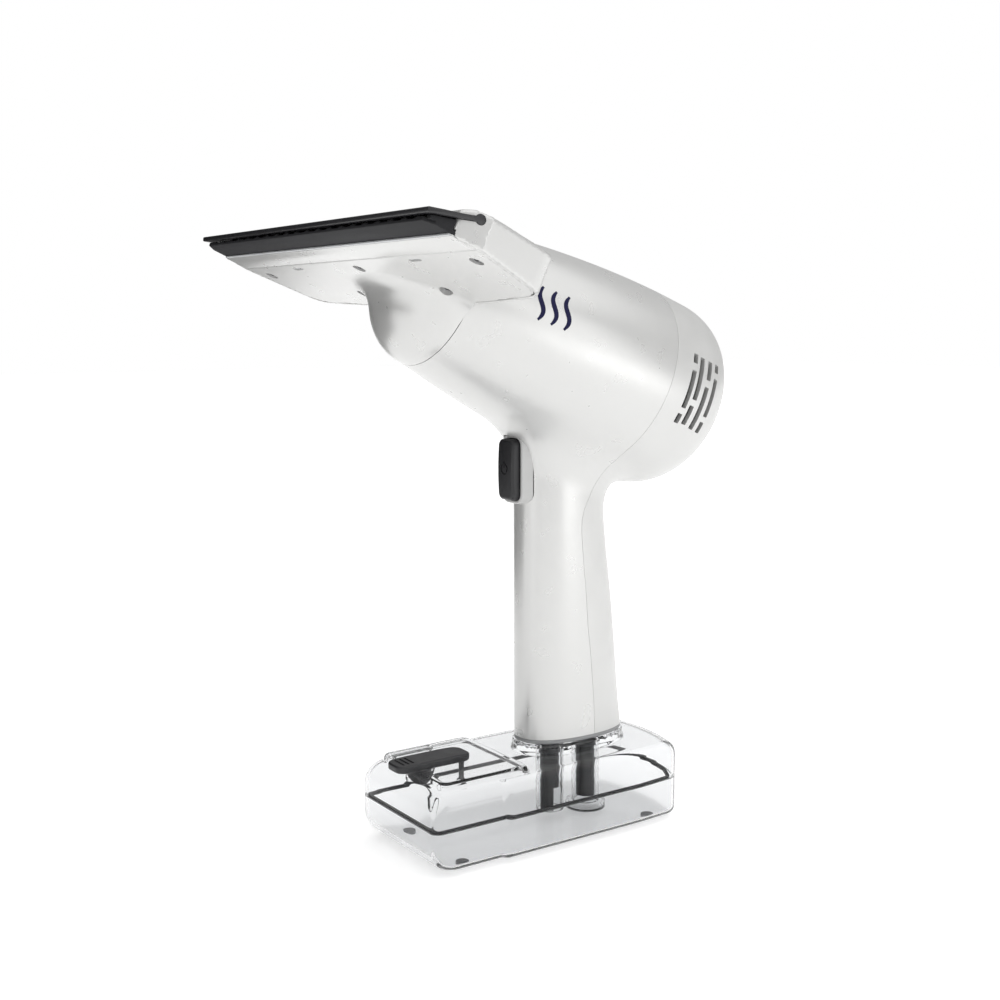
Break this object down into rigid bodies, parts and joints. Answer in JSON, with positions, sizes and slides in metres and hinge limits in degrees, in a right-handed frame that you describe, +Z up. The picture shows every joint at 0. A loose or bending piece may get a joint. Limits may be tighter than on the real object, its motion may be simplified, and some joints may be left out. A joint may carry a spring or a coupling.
{
  "type": "garment steamer",
  "caption": "Handheld garment steamer with a wide flat steaming head, a tilted round barrel, an upright grip with a push button and a clear water tank as its stand.",
  "frame": {"origin": "on the floor, under the middle of the overall box", "axes": "+Z up, -Y to the front, where the head points, +X to the left of someone who faces its front"},
  "size_m": [0.199, 0.2124, 0.2779],
  "materials": {
    "clear_tank": "clear moulded plastic, polished",
    "gloss_white": "pearl white, glossy",
    "matt_white": "light grey-white, fine satin texture",
    "black_rubber": "soft black, satin",
    "dark_rubber": "dark grey seal",
    "grey_rubber": "mid grey pad",
    "grey_plastic": "mid grey, satin",
    "dark_plastic": "dark grey, satin",
    "silicone": "milky silicone",
    "steel": "plain steel",
    "cast_alloy": "cast and machined",
    "brass": "plain brass",
    "board_green": "lacquered board",
    "wire_cover": "flexible cover"
  },
  "bodies": {
    "tank": {"tank_lower": "clear_tank", "tank_upper": "clear_tank", "tank_seal": "dark_rubber", "tank_feet": "grey_rubber", "tube_sleeves": "clear_tank", "return_cup": "clear_tank"},
    "plug": {"filler_plug": "black_rubber"},
    "body": {"front_housing": "gloss_white", "rear_housing": "matt_white", "vent_screens": "dark_plastic", "housing_screws": "steel", "grip_end_plate": "grey_plastic", "button_bezel": "gloss_white", "button_spring": "steel", "microswitch": "dark_plastic", "switch_bracket": "dark_plastic", "pickup_tube": "dark_plastic", "return_tube": "dark_plastic", "tube_collars": "dark_plastic", "suction_hose": "silicone", "feed_hose": "silicone", "return_hose": "silicone", "pump": "dark_plastic", "pump_mounts": "dark_rubber", "heater_block": "cast_alloy", "heater_gasket": "dark_rubber", "heater_cover": "cast_alloy", "heater_screws": "steel", "heater_terminals": "brass", "heat_shield": "silicone", "heater_cradles": "dark_plastic", "thermostat": "dark_plastic", "thermal_fuse": "steel", "steam_tube": "silicone", "neck_socket": "dark_plastic", "control_board": "board_green", "board_parts": "dark_plastic", "board_screws": "steel", "power_inlet": "dark_plastic", "inlet_pins": "brass", "wiring": "wire_cover"},
    "button": {"power_button": "black_rubber"},
    "head": {"head_upper_cover": "gloss_white", "head_lower_plate": "gloss_white", "head_spigot": "dark_plastic", "spigot_seal": "dark_rubber", "steam_distributor": "dark_plastic", "head_screws": "steel", "head_clips": "grey_plastic", "wiping_blade": "black_rubber", "ribbed_lip": "black_rubber", "lip_clamp": "grey_plastic"}
  },
  "joints": [
    {"name": "body_lift", "type": "slide", "parent": "tank", "child": "body", "axis": [0, 0, 1], "range_m": [0, 0.06]},
    {"name": "head_pull", "type": "slide", "parent": "body", "child": "head", "axis": [0, -0.9348, 0.3551], "range_m": [0, 0.03]},
    {"name": "button_press", "type": "slide", "parent": "body", "child": "button", "axis": [0, 1, 0], "range_m": [0, 0.0025], "stiffness_N_per_m": 400, "springref_m": -0.0025, "deforming": ["button_spring"]},
    {"name": "plug_lift", "type": "slide", "parent": "tank", "child": "plug", "axis": [0, 0, 1], "range_m": [0, 0.0075]}
  ]
}
